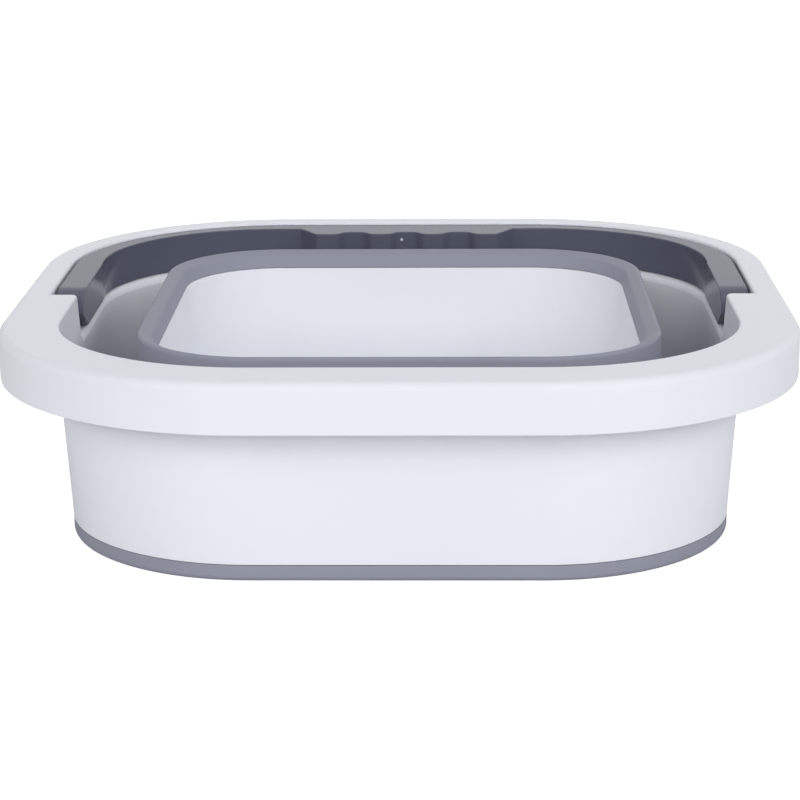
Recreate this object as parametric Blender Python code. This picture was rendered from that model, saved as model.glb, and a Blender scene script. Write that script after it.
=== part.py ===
"""A collapsible bucket, folded flat, as a Blender model in metres with +Z up.

The bucket is three mouldings and a handle. A stiff ring, upper_frame, carries the rim.
A stiff tub nests inside it. One soft moulding joins them: frame_edge_band grips the ring's
lower edge, tub_lip_band grips the tub's upper edge, and folding_sleeve is the wall between.
Folded, the sleeve stands inverted inside the ring. Lifting the ring turns it inside out.
The handle lies in a rebate in the rear half of the rim and swings up about the X axis.
"""

import math

import bmesh
import bpy
from mathutils import Matrix, Vector

# Plan shared by every ring: a square with straight runs and round corners, about the origin.
OUTER_HALF = 0.160
STRAIGHT_HALF = 0.05615
CORNER_STEPS = 12

# Gaps between pieces.
TOUCH_GAP = 0.0003
OVERRUN = 0.002

# Upper frame: the rim and the wall below it.
FRAME_HEIGHT = 0.08525
SKIRT_DEPTH = 0.01995
RIM_WALL = 0.0021
RIM_EDGE_RADIUS = 0.0033
RIM_INNER_RADIUS = 0.001
FRONT_RIM_WIDTH = 0.024
BODY_WALL = 0.0023
BODY_DRAFT = math.radians(3.7)
EDGE_STEPS = 4
FRONT_BAYS = 14
REAR_BAYS = 12
RIB_THICKNESS = 0.0016
POCKET_SETBACK = 0.0004

# Rebate for the handle, in the rear half of the rim.
LIP_WIDTH = 0.012
LEDGE_DEPTH = 0.01805
SLOT_EDGE_RADIUS = 0.0012
SHOULDER_RADIUS = 0.004
STEP_CORNER_RADIUS = 0.003
SHOULDER_STEPS = 4

# Handle.
SIDE_GAP = 0.0012
BACK_GAP = 0.0006
HANDLE_DROP = 0.001
HANDLE_BACK_WIDTH = 0.0104
CORNER_SLIMMING = 0.0031
HANDLE_WALL = 0.0024
HANDLE_EDGE_RADIUS = 0.0013
PIVOT_Y = 0.002
NOSE_REACH = 0.015
NOSE_TO_STEP = 0.0043
HEEL_REACH = 0.005
HEEL_DROP = math.radians(5)
NOSE_STEPS = 8
TRUNNION_RADIUS = 0.0035
TRUNNION_LENGTH = 0.0075
TRUNNION_CLEARANCE = 0.0003
TRUNNION_STEPS = 20
ARM_BAYS = 9
GRIP_SETBACK = 0.00565
GRIP_DEPTH = 0.0214
FINGER_PITCH = 0.0247
FINGER_SWELL = 0.0025
FINGER_STEPS = 10

# Soft band round the lower edge of the frame.
BAND_HEIGHT = 0.0069
BAND_SKIN = 0.0012
BAND_FLOOR = 0.0027
BAND_FOOT_RADIUS = 0.0024
FRAME_TONGUE = 0.0011
FRAME_TONGUE_DEPTH = 0.0039

# Tub.
TUB_HEIGHT = 0.081
SLEEVE_ROOM = 0.0304
TUB_WALL = 0.002
TUB_DRAFT = math.radians(2.8)
TUB_BASE_RADIUS = 0.007
FOOT_HEIGHT = 0.0032
FOOT_WIDTH = 0.0025
TUB_TONGUE = 0.0018
TUB_TONGUE_RISE = 0.003
BASE_STEPS = 4

# Soft band on the upper edge of the tub.
CREST_WIDTH = 0.008
CREST_DEPTH = 0.0075
CREST_ROOF_WIDTH = 0.0059
CREST_ROOF_FALL = math.radians(24)
CREST_EDGE_RADIUS = 0.0015
CREST_KNEE_RADIUS = 0.002
CREST_SKIN = 0.0024
CREST_STEPS = 4

# Folding sleeve: a stiffer panel between two thin hinges.
PANEL_THICKNESS = 0.0018
HINGE_THICKNESS = 0.0009
HINGE_LENGTH = 0.005

# Shading and colours.
SHARP_ANGLE = math.radians(32)
WHITE_PLASTIC = ((0.80, 0.82, 0.86, 1.0), 0.38)
GREY_PLASTIC = ((0.19, 0.195, 0.22, 1.0), 0.22)
GREY_ELASTOMER = ((0.27, 0.28, 0.33, 1.0), 0.5)

# Heights and half widths that follow from the sizes above.
SKIRT_FOOT_Z = FRAME_HEIGHT - SKIRT_DEPTH
LEDGE_Z = FRAME_HEIGHT - LEDGE_DEPTH
SLOT_OUTER = OUTER_HALF - LIP_WIDTH
SKIRT_INNER = OUTER_HALF - RIM_WALL
POCKET_TOP_Z = FRAME_HEIGHT - RIM_WALL
HANDLE_SIDE = SLOT_OUTER - SIDE_GAP
HANDLE_BACK = SLOT_OUTER - BACK_GAP
HANDLE_TOP_Z = FRAME_HEIGHT - HANDLE_DROP
HANDLE_FOOT_Z = LEDGE_Z + TOUCH_GAP
HUB_RADIUS = (HANDLE_TOP_Z - HANDLE_FOOT_Z) / 2
PIVOT_Z = (HANDLE_TOP_Z + HANDLE_FOOT_Z) / 2
NOSE_Y = PIVOT_Y - HUB_RADIUS
STEP_Y = NOSE_Y - NOSE_TO_STEP
TRUNNION_END = HANDLE_SIDE + TRUNNION_LENGTH
GRIP_HALF_LENGTH = STRAIGHT_HALF - GRIP_SETBACK


def frame_inner(height):
    """Half width of the frame's inner face at a height."""
    return OUTER_HALF - FRONT_RIM_WIDTH - math.tan(BODY_DRAFT) * (FRAME_HEIGHT - height)


def frame_outer(height):
    """Half width of the frame's outer face at a height below the skirt."""
    return frame_inner(height) + BODY_WALL


CREST_OUTER = frame_inner(TUB_HEIGHT) - SLEEVE_ROOM
CREST_INNER = CREST_OUTER - CREST_WIDTH
CREST_HEM_Z = TUB_HEIGHT - CREST_DEPTH
HANDLE_INNER = frame_inner(LEDGE_Z)
BAND_INNER = frame_inner(BAND_HEIGHT) - TOUCH_GAP - BAND_SKIN


def tub_inner(height):
    """Half width of the tub's inner face at a height below the band on its upper edge."""
    return CREST_INNER - math.tan(TUB_DRAFT) * (CREST_HEM_Z - height)


def tub_outer(height):
    """Half width of the tub's outer face at a height."""
    return tub_inner(height) + TUB_WALL


# The plan is walked in places from 0 to 8: an even step runs along a side, an odd one rounds a corner.


def plan_point(place, half):
    """The point at a place of the plan outline with this half width."""
    section = math.floor(place)
    along = place - section
    normal = Vector((1, 0)) @ Matrix.Rotation(-math.radians(90) * (section // 2), 2)
    following = Vector((-normal.y, normal.x))
    if section % 2 == 0:
        return normal * half + following * STRAIGHT_HALF * (2 * along - 1)
    turn = math.radians(90) * along
    direction = normal * math.cos(turn) + following * math.sin(turn)
    return (normal + following) * STRAIGHT_HALF + direction * (half - STRAIGHT_HALF)


def right_place(y):
    """The place on the +X side at this y."""
    return (y / STRAIGHT_HALF + 1) / 2


def left_place(y):
    """The place on the -X side at this y."""
    return 5 - right_place(y)


def run(start, end):
    """The places from start to end: both ends, and the corners' own steps between them."""
    corners = range(2 * math.floor(start / 2) - 1, math.ceil(end) + 1, 2)
    steps = [corner + step / CORNER_STEPS for corner in corners for step in range(CORNER_STEPS + 1)]
    least = 0.1 / CORNER_STEPS
    return [start] + [place for place in steps if start + least < place < end - least] + [end]


def whole_plan():
    """The places of a closed outline."""
    return [corner + step / CORNER_STEPS for corner in (1, 3, 5, 7) for step in range(CORNER_STEPS + 1)]


def plan_outline(places, half):
    """The plan's points at these places, for one half width."""
    return [tuple(plan_point(place, half)) for place in places]


def place_step(place, half, length):
    """How far the place moves for this length along the outline."""
    if math.floor(place) % 2 == 0:
        return length / (2 * STRAIGHT_HALF)
    return length / (math.radians(90) * (half - STRAIGHT_HALF))


def arc(centre, radius, first, last, steps):
    """Points round a centre in a section, from one angle to another in degrees."""
    angles = [math.radians(first + (last - first) * step / steps) for step in range(steps + 1)]
    return [(centre[0] + radius * math.cos(angle), centre[1] + radius * math.sin(angle)) for angle in angles]


def rounded(before, corner, after, radius, steps):
    """Points of the arc that rounds a corner of a section."""
    back = (Vector(before) - Vector(corner)).normalized()
    onward = (Vector(after) - Vector(corner)).normalized()
    opening = back.angle(onward) / 2
    centre = Vector(corner) + (back + onward).normalized() * radius / math.sin(opening)
    first = Vector(corner) + back * radius / math.tan(opening) - centre
    last = Vector(corner) + onward * radius / math.tan(opening) - centre
    turn = first.angle_signed(last)
    return [tuple(centre + Matrix.Rotation(-turn * step / steps, 2) @ first) for step in range(steps + 1)]


def add_faces_between(mesh, rows, closed):
    """Four-sided faces between rows of vertices, and end caps where the rows don't close."""
    followers = rows[1:] + rows[:1] if closed else rows[1:]
    for row, follower in zip(rows, followers):
        for index, vertex in enumerate(row):
            beside = (index + 1) % len(row)
            mesh.faces.new((vertex, follower[index], follower[beside], row[beside]))
    if not closed:
        mesh.faces.new(rows[0])
        mesh.faces.new(reversed(rows[-1]))


def add_sweep(mesh, places, section_at, closed=False):
    """Carries a section of (half width, height) points along the plan."""
    rows = []
    for place in places:
        section = section_at(place)
        rows.append([mesh.verts.new((*plan_point(place, half), height)) for half, height in section])
    add_faces_between(mesh, rows, closed)


def add_levels(mesh, levels):
    """A solid through flat outlines, each a height and its points in plan."""
    rows = [[mesh.verts.new((x, y, height)) for x, y in outline] for height, outline in levels]
    add_faces_between(mesh, rows, closed=False)


def add_bar(mesh, outline, first_x, last_x):
    """A solid along X from an outline of (y, z) points."""
    rows = [[mesh.verts.new((x, y, z)) for y, z in outline] for x in (first_x, last_x)]
    add_faces_between(mesh, rows, closed=False)


def make_object(name, mesh):
    """An object from a bmesh, with its faces turned outwards."""
    bmesh.ops.recalc_face_normals(mesh, faces=mesh.faces)
    data = bpy.data.meshes.new(name)
    mesh.to_mesh(data)
    mesh.free()
    made = bpy.data.objects.new(name, data)
    bpy.context.scene.collection.objects.link(made)
    return made


def make_ring(name, section):
    """A closed ring with this section all round the plan."""
    mesh = bmesh.new()
    add_sweep(mesh, whole_plan(), lambda place: section, closed=True)
    return make_object(name, mesh)


def combine(target, helper, operation):
    """Adds a Boolean of the helper to the target, and hides the helper."""
    helper.hide_render = True
    helper.display_type = "WIRE"
    modifier = target.modifiers.new(helper.name, "BOOLEAN")
    modifier.operation = operation
    modifier.solver = "EXACT"
    modifier.object = helper


def settle(target, helpers=()):
    """Keeps the mesh that the modifiers make, removes the helpers, and shades the rounds smooth."""
    graph = bpy.context.evaluated_depsgraph_get()
    shaped = bpy.data.meshes.new_from_object(target.evaluated_get(graph))
    target.modifiers.clear()
    target.data = shaped
    shaped.name = target.name
    for helper in helpers:
        bpy.data.objects.remove(helper)
    shaped.shade_smooth()
    shaped.set_sharp_from_angle(angle=SHARP_ANGLE)


def make_material(name, finish):
    """A Principled material with a colour and a roughness."""
    colour, roughness = finish
    material = bpy.data.materials.new(name)
    material.use_nodes = True
    shader = material.node_tree.nodes["Principled BSDF"]
    shader.inputs["Base Color"].default_value = colour
    shader.inputs["Roughness"].default_value = roughness
    shader.inputs["Metallic"].default_value = 0
    material.diffuse_color = colour
    return material


def dress(target, finish):
    target.data.materials.clear()
    target.data.materials.append(make_material(target.name, finish))


def frame_section():
    """The frame's section before it is hollowed: wall, tongue for the band, and a solid rim."""
    tongue_z = BAND_HEIGHT - FRAME_TONGUE_DEPTH
    tongue_inner = frame_inner(BAND_HEIGHT)
    inner_edge = (frame_inner(FRAME_HEIGHT) + RIM_INNER_RADIUS, FRAME_HEIGHT - RIM_INNER_RADIUS)
    outer_edge = (OUTER_HALF - RIM_EDGE_RADIUS, FRAME_HEIGHT - RIM_EDGE_RADIUS)
    return [
        (tongue_inner + FRAME_TONGUE, tongue_z),
        (tongue_inner, tongue_z),
        (tongue_inner, BAND_HEIGHT),
        *arc(inner_edge, RIM_INNER_RADIUS, 180, 90, 2),
        *arc(outer_edge, RIM_EDGE_RADIUS, 90, 0, EDGE_STEPS),
        (OUTER_HALF, SKIRT_FOOT_Z),
        (frame_outer(SKIRT_FOOT_Z), SKIRT_FOOT_Z),
        (frame_outer(BAND_HEIGHT), BAND_HEIGHT),
        (tongue_inner + FRAME_TONGUE, BAND_HEIGHT),
    ]


def rebate_outline(height, grow):
    """The rebate in plan: round the rear at the slot's outer wall, then across in front of the step."""
    inner = frame_inner(height)
    centre_x = inner + STEP_CORNER_RADIUS
    centre_y = STEP_Y - STEP_CORNER_RADIUS
    places = run(right_place(STEP_Y - grow), left_place(STEP_Y - grow))
    rear = plan_outline(places, SLOT_OUTER + grow)
    corner = arc((centre_x, centre_y), STEP_CORNER_RADIUS - grow, 90, 180, EDGE_STEPS)
    left_corner = [(-x, y) for x, y in corner]
    return rear + left_corner + corner[::-1]


def make_rebate():
    """Cutter for the handle's seat, with the slot's upper edge rounded over."""
    edge_z = FRAME_HEIGHT - SLOT_EDGE_RADIUS
    turns = arc((SLOT_EDGE_RADIUS, edge_z), SLOT_EDGE_RADIUS, 180, 90, 2)
    levels = [(LEDGE_Z, rebate_outline(LEDGE_Z, 0))]
    levels += [(height, rebate_outline(height, grow)) for grow, height in turns]
    levels.append((FRAME_HEIGHT + OVERRUN, rebate_outline(FRAME_HEIGHT, SLOT_EDGE_RADIUS)))
    mesh = bmesh.new()
    add_levels(mesh, levels)
    return make_object("rebate", mesh)


def make_shoulder():
    """Cutter that rounds the inner edge of the ledge and runs out into the wall."""
    centre_z = LEDGE_Z - SHOULDER_RADIUS
    centre = (frame_inner(centre_z) + SHOULDER_RADIUS / math.cos(BODY_DRAFT), centre_z)
    rounding = arc(centre, SHOULDER_RADIUS, 180 - math.degrees(BODY_DRAFT), 90, SHOULDER_STEPS)
    inner = rounding[0][0] - OVERRUN
    section = [(inner, rounding[0][1]), *rounding, (centre[0], LEDGE_Z + OVERRUN), (inner, LEDGE_Z + OVERRUN)]
    mesh = bmesh.new()
    add_sweep(mesh, run(right_place(STEP_Y), left_place(STEP_Y)), lambda place: section)
    return make_object("shoulder", mesh)


def add_bays(mesh, ends, bays, half, rib, section_at):
    """Hollows between ribs: the run is parted into bays, and half a rib stays at each parting."""
    start, end = ends
    for bay in range(bays):
        first = start + (end - start) * bay / bays
        last = start + (end - start) * (bay + 1) / bays
        if bay > 0:
            first += place_step(first, half, rib / 2)
        if bay < bays - 1:
            last -= place_step(last, half, rib / 2)
        add_sweep(mesh, run(first, last), section_at)


def make_rim_pockets():
    """Cutter for the hollows under the rim, with ribs left between the wall and the skirt."""
    low = SKIRT_FOOT_Z - OVERRUN
    front = [
        (frame_outer(low) + POCKET_SETBACK, low),
        (frame_outer(POCKET_TOP_Z) + POCKET_SETBACK, POCKET_TOP_Z),
        (SKIRT_INNER, POCKET_TOP_Z),
        (SKIRT_INNER, low),
    ]
    slot_back = SLOT_OUTER + RIM_WALL
    rear = [(slot_back, low), (slot_back, POCKET_TOP_Z), (SKIRT_INNER, POCKET_TOP_Z), (SKIRT_INNER, low)]
    front_y = STEP_Y - RIM_WALL
    front_ends = (left_place(front_y), 8 + right_place(front_y))
    rear_ends = (right_place(STEP_Y), left_place(STEP_Y))
    mesh = bmesh.new()
    for ends, bays, section in ((front_ends, FRONT_BAYS, front), (rear_ends, REAR_BAYS, rear)):
        add_bays(mesh, ends, bays, SKIRT_INNER, RIB_THICKNESS, lambda place: section)
    return make_object("rim_pockets", mesh)


def make_pivot_rods(name, radius, inner_half, outer_half):
    """A rod at each side of the bucket, on the handle's axis."""
    circle = arc((PIVOT_Y, PIVOT_Z), radius, 0, 360, TRUNNION_STEPS)[:-1]
    mesh = bmesh.new()
    for side in (-1, 1):
        add_bar(mesh, circle, side * inner_half, side * outer_half)
    return make_object(name, mesh)


def make_upper_frame():
    frame = make_ring("upper_frame", frame_section())
    hole_radius = TRUNNION_RADIUS + TRUNNION_CLEARANCE
    hole_end = TRUNNION_END + TRUNNION_CLEARANCE
    helpers = [
        make_rim_pockets(),
        make_rebate(),
        make_shoulder(),
        make_pivot_rods("pivot_holes", hole_radius, SLOT_OUTER - OVERRUN, hole_end),
    ]
    for helper in helpers:
        combine(frame, helper, "DIFFERENCE")
    settle(frame, helpers)
    dress(frame, WHITE_PLASTIC)
    return frame


def make_frame_edge_band():
    """The soft band that grips the frame's lower edge and forms its foot."""
    outer = frame_outer(BAND_HEIGHT)
    tongue_inner = frame_inner(BAND_HEIGHT)
    slot_inner = tongue_inner - TOUCH_GAP
    slot_outer = tongue_inner + FRAME_TONGUE + TOUCH_GAP
    slot_z = BAND_HEIGHT - FRAME_TONGUE_DEPTH - TOUCH_GAP
    foot_z = slot_z - BAND_FLOOR
    outer_centre = (outer - BAND_FOOT_RADIUS, foot_z + BAND_FOOT_RADIUS)
    inner_centre = (BAND_INNER + BAND_SKIN, foot_z + BAND_SKIN)
    section = [
        (slot_outer, slot_z),
        (slot_outer, BAND_HEIGHT - TOUCH_GAP),
        (outer, BAND_HEIGHT - TOUCH_GAP),
        *arc(outer_centre, BAND_FOOT_RADIUS, 0, -90, EDGE_STEPS),
        *arc(inner_centre, BAND_SKIN, -90, -180, 2),
        (BAND_INNER, BAND_HEIGHT - BAND_SKIN),
        (slot_inner, BAND_HEIGHT - BAND_SKIN),
        (slot_inner, slot_z),
    ]
    band = make_ring("frame_edge_band", section)
    settle(band)
    dress(band, GREY_ELASTOMER)
    return band


def corner_share(place):
    """0 along the handle's arms, 1 along its back, and the share of the turn round its corners."""
    section = math.floor(place)
    along = place - section
    return {1: along, 2: 1, 3: 1 - along}.get(section, 0)


def handle_outer(place):
    """Half width of the handle's outer face: closer to the slot's wall round the corners and the back."""
    return HANDLE_SIDE + (HANDLE_BACK - HANDLE_SIDE) * math.sin(math.radians(90) * corner_share(place))


def handle_inner(place):
    """Half width of the handle's inner face: slimmer at the back, and slimmest round the corners."""
    share = corner_share(place)
    back = HANDLE_BACK - HANDLE_BACK_WIDTH
    slimming = CORNER_SLIMMING * math.sin(math.pi * share)
    return HANDLE_INNER + (back - HANDLE_INNER) * share + slimming


def grip_face(x, inset=0):
    """How far back the grip's finger side lies at x: waves with hollows for the fingers."""
    wave = math.cos(2 * math.pi * x / FINGER_PITCH)
    return HANDLE_BACK - GRIP_DEPTH + FINGER_SWELL * wave + inset


def grip_points(first_x, last_x, inset=0):
    steps = max(1, round(abs(last_x - first_x) / FINGER_PITCH * FINGER_STEPS))
    xs = [first_x + (last_x - first_x) * step / steps for step in range(steps + 1)]
    return [(x, grip_face(x, inset)) for x in xs]


def handle_outline():
    """The handle in plan, from nose to nose round the rear, and back along the finger side."""
    end = NOSE_Y
    places = run(right_place(end), left_place(end))
    outer = [tuple(plan_point(place, handle_outer(place))) for place in places]
    left = [tuple(plan_point(place, handle_inner(place))) for place in run(3, left_place(end))]
    right = [(-x, y) for x, y in left]
    back = HANDLE_BACK - HANDLE_BACK_WIDTH
    grip = grip_points(-GRIP_HALF_LENGTH, GRIP_HALF_LENGTH)
    return outer + left[::-1] + [(-GRIP_HALF_LENGTH, back)] + grip + [(GRIP_HALF_LENGTH, back)] + right


def make_nose_cutter():
    """Cuts the arms' ends to a long round nose above and a slanting heel below."""
    unit = arc((0, 0), 1, 90, 180 + math.degrees(HEEL_DROP), NOSE_STEPS)
    centre_y = NOSE_Y + NOSE_REACH
    outline = [
        *[(centre_y + NOSE_REACH * along, PIVOT_Z + HUB_RADIUS * up) for along, up in unit],
        (PIVOT_Y + HEEL_REACH, HANDLE_FOOT_Z),
        (PIVOT_Y + HEEL_REACH, HANDLE_FOOT_Z - OVERRUN),
        (NOSE_Y - OVERRUN, HANDLE_FOOT_Z - OVERRUN),
        (NOSE_Y - OVERRUN, HANDLE_TOP_Z + OVERRUN),
        (centre_y, HANDLE_TOP_Z + OVERRUN),
    ]
    mesh = bmesh.new()
    add_bar(mesh, outline, -OUTER_HALF, OUTER_HALF)
    return make_object("nose_cutter", mesh)


def make_handle_pockets():
    """Cutter for the handle's hollow underside: bays between ribs, wider ones behind the fingers."""
    low = HANDLE_FOOT_Z - OVERRUN
    top = HANDLE_TOP_Z - HANDLE_WALL

    def channel(place):
        inner = handle_inner(place) + HANDLE_WALL
        outer = handle_outer(place) - HANDLE_WALL
        return [(inner, low), (inner, top), (outer, top), (outer, low)]

    mesh = bmesh.new()
    start_y = PIVOT_Y + 2 * HUB_RADIUS
    grip_edge = 2 + (1 - GRIP_HALF_LENGTH / STRAIGHT_HALF) / 2
    for ends in ((right_place(start_y), grip_edge), (5 - grip_edge, left_place(start_y))):
        add_bays(mesh, ends, ARM_BAYS, HANDLE_SIDE, HANDLE_WALL, channel)
    hollow_half = GRIP_HALF_LENGTH - HANDLE_WALL
    bays = max(1, round(2 * GRIP_HALF_LENGTH / FINGER_PITCH))
    back = HANDLE_BACK - HANDLE_WALL
    for bay in range(bays):
        first = -hollow_half + 2 * hollow_half * bay / bays + (HANDLE_WALL / 2 if bay else 0)
        last = -hollow_half + 2 * hollow_half * (bay + 1) / bays - (HANDLE_WALL / 2 if bay < bays - 1 else 0)
        outline = grip_points(first, last, HANDLE_WALL) + [(last, back), (first, back)]
        add_levels(mesh, [(low, outline), (top, outline)])
    return make_object("handle_pockets", mesh)


def make_handle():
    outline = handle_outline()
    mesh = bmesh.new()
    add_levels(mesh, [(HANDLE_FOOT_Z, outline), (HANDLE_TOP_Z, outline)])
    handle = make_object("handle", mesh)
    nose = make_nose_cutter()
    pockets = make_handle_pockets()
    trunnions = make_pivot_rods("trunnions", TRUNNION_RADIUS, HANDLE_SIDE - HANDLE_WALL, TRUNNION_END)
    combine(handle, nose, "DIFFERENCE")
    rounding = handle.modifiers.new("rounded edges", "BEVEL")
    rounding.width = HANDLE_EDGE_RADIUS
    rounding.segments = 2
    rounding.limit_method = "ANGLE"
    rounding.angle_limit = math.radians(40)
    combine(handle, pockets, "DIFFERENCE")
    combine(handle, trunnions, "UNION")
    settle(handle, (nose, pockets, trunnions))
    pivot = Vector((0, PIVOT_Y, PIVOT_Z))
    handle.data.transform(Matrix.Translation(-pivot))
    handle.location = pivot
    dress(handle, GREY_PLASTIC)
    return handle


def make_tub():
    """The tub: a foot, a drafted wall with a round base, and a tongue that the crest band grips."""
    floor_z = FOOT_HEIGHT + TUB_WALL
    base_z = floor_z + TUB_BASE_RADIUS
    centre = (tub_inner(base_z) - TUB_BASE_RADIUS, base_z)
    tongue_inner = CREST_INNER + CREST_SKIN + TOUCH_GAP
    tongue_outer = tongue_inner + TUB_TONGUE
    tongue_top = CREST_HEM_Z + TUB_TONGUE_RISE
    flare_z = CREST_HEM_Z - (tongue_outer - tub_outer(CREST_HEM_Z))
    foot_inner = centre[0] - FOOT_WIDTH
    section = [
        (foot_inner, FOOT_HEIGHT),
        (foot_inner, 0),
        (centre[0], 0),
        *arc(centre, TUB_BASE_RADIUS + TUB_WALL, -90, 0, BASE_STEPS),
        (tub_outer(flare_z), flare_z),
        (tongue_outer, CREST_HEM_Z),
        (tongue_outer, tongue_top),
        (tongue_inner, tongue_top),
        (tongue_inner, CREST_HEM_Z),
        (CREST_INNER, CREST_HEM_Z),
        *arc(centre, TUB_BASE_RADIUS, 0, -90, BASE_STEPS),
    ]
    levels = [(height, plan_outline(whole_plan(), half)) for half, height in section]
    mesh = bmesh.new()
    add_levels(mesh, levels)
    tub = make_object("tub", mesh)
    settle(tub)
    dress(tub, WHITE_PLASTIC)
    return tub


def crest_section(steps):
    """The crest: a flush outer face, a roof that falls inwards from its edge, and a slot for the tongue."""
    slot_inner = CREST_INNER + CREST_SKIN
    slot_outer = slot_inner + TUB_TONGUE + 2 * TOUCH_GAP
    slot_top = CREST_HEM_Z + TUB_TONGUE_RISE + TOUCH_GAP
    hem_z = CREST_HEM_Z + TOUCH_GAP
    edge_centre = (CREST_OUTER - CREST_EDGE_RADIUS, TUB_HEIGHT - CREST_EDGE_RADIUS)
    edge = arc(edge_centre, CREST_EDGE_RADIUS, 0, 90 + math.degrees(CREST_ROOF_FALL), steps)
    knee_half = CREST_OUTER - CREST_ROOF_WIDTH
    knee = (knee_half, edge[-1][1] - (edge[-1][0] - knee_half) * math.tan(CREST_ROOF_FALL))
    hem = (CREST_INNER, hem_z)
    return [
        (slot_outer, hem_z),
        (CREST_OUTER, hem_z),
        *edge,
        *rounded(edge[-1], knee, hem, CREST_KNEE_RADIUS, steps),
        hem,
        (slot_inner, hem_z),
        (slot_inner, slot_top),
        (slot_outer, slot_top),
    ]


def make_tub_lip_band():
    """The soft crest on the tub's upper edge."""
    band = make_ring("tub_lip_band", crest_section(CREST_STEPS))
    settle(band)
    dress(band, GREY_ELASTOMER)
    return band


def make_folding_sleeve():
    """The soft wall, standing inverted: thin hinges at both ends of a thicker panel."""
    low = Vector((BAND_INNER - TOUCH_GAP - HINGE_THICKNESS / 2, BAND_SKIN + HINGE_THICKNESS / 2))
    high = Vector((CREST_OUTER - HINGE_THICKNESS / 2, CREST_HEM_Z))
    along = (high - low).normalized()
    across = Vector((along.y, -along.x))
    stations = [
        (low, HINGE_THICKNESS),
        (low + along * HINGE_LENGTH, HINGE_THICKNESS),
        (low + along * (HINGE_LENGTH + PANEL_THICKNESS), PANEL_THICKNESS),
        (high - along * (HINGE_LENGTH + PANEL_THICKNESS), PANEL_THICKNESS),
        (high - along * HINGE_LENGTH, HINGE_THICKNESS),
    ]
    outer_side = [centre + across * thickness / 2 for centre, thickness in stations]
    inner_side = [centre - across * thickness / 2 for centre, thickness in stations]
    top = [high + Vector((HINGE_THICKNESS / 2, 0)), high - Vector((HINGE_THICKNESS / 2, 0))]
    sleeve = make_ring("folding_sleeve", [tuple(point) for point in outer_side + top + inner_side[::-1]])
    settle(sleeve)
    dress(sleeve, GREY_ELASTOMER)
    return sleeve


def make_empty(name):
    empty = bpy.data.objects.new(name, None)
    bpy.context.scene.collection.objects.link(empty)
    return empty


def clear_scene():
    for existing in list(bpy.data.objects):
        bpy.data.objects.remove(existing)


def main():
    clear_scene()
    lower = make_empty("lower_assembly")
    upper = make_empty("upper_assembly")
    upper.parent = lower
    for piece in (make_tub(), make_tub_lip_band(), make_folding_sleeve()):
        piece.parent = lower
    for piece in (make_upper_frame(), make_frame_edge_band(), make_handle()):
        piece.parent = upper


main()
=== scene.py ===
"""The looks of a square collapsible bucket, folded flat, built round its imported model.

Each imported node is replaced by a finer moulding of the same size. The white frame and tub, the
soft grey moulding between them, and the glossy grey handle each have their own plastic.
"""

import math

import bmesh
import bpy
from mathutils import Matrix, Vector


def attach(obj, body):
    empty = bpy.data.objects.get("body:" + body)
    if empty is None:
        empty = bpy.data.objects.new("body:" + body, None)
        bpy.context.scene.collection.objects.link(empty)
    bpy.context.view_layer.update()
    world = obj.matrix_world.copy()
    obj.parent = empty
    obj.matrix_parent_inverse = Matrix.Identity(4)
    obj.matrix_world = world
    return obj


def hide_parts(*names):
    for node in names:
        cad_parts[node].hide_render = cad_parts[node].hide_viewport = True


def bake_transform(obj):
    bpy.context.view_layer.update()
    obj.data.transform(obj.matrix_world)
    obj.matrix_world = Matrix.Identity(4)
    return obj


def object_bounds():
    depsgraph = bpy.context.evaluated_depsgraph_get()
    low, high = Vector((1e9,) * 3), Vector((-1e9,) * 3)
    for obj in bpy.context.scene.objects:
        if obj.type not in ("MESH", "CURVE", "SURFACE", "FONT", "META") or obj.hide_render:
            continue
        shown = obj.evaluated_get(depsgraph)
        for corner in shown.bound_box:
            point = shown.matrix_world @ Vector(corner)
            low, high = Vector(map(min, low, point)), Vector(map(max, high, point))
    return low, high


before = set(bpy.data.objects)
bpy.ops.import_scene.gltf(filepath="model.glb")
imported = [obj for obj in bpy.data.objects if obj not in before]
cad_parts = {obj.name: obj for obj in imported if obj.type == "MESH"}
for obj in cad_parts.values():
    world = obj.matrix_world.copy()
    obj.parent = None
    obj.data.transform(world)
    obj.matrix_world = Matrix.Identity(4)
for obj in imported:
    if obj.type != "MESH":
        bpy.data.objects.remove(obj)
cad_low, cad_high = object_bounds()

# Plan shared by every ring: a square with straight runs and round corners.
OUTER_HALF = cad_high.x
STRAIGHT_HALF = 0.05615

# The gap that touching pieces keep, and how far a cutter runs past what it cuts.
TOUCH_GAP = 0.0003
OVERRUN = 0.002

# Upper frame.
FRAME_HEIGHT = cad_high.z
SKIRT_DEPTH = 0.01995
RIM_WALL = 0.0021
RIM_EDGE_RADIUS = 0.0033
RIM_INNER_RADIUS = 0.001
FRONT_RIM_WIDTH = 0.024
BODY_WALL = 0.0023
BODY_DRAFT = math.radians(3.7)
FRONT_BAYS = 14
REAR_BAYS = 12
RIB_THICKNESS = 0.0016
POCKET_SETBACK = 0.0004
SKIRT_FOOT_RADIUS = 0.0005

# Rebate for the handle.
LIP_WIDTH = 0.012
LEDGE_DEPTH = 0.01805
SLOT_EDGE_RADIUS = 0.0012
SHOULDER_RADIUS = 0.004
STEP_CORNER_RADIUS = 0.003

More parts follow.
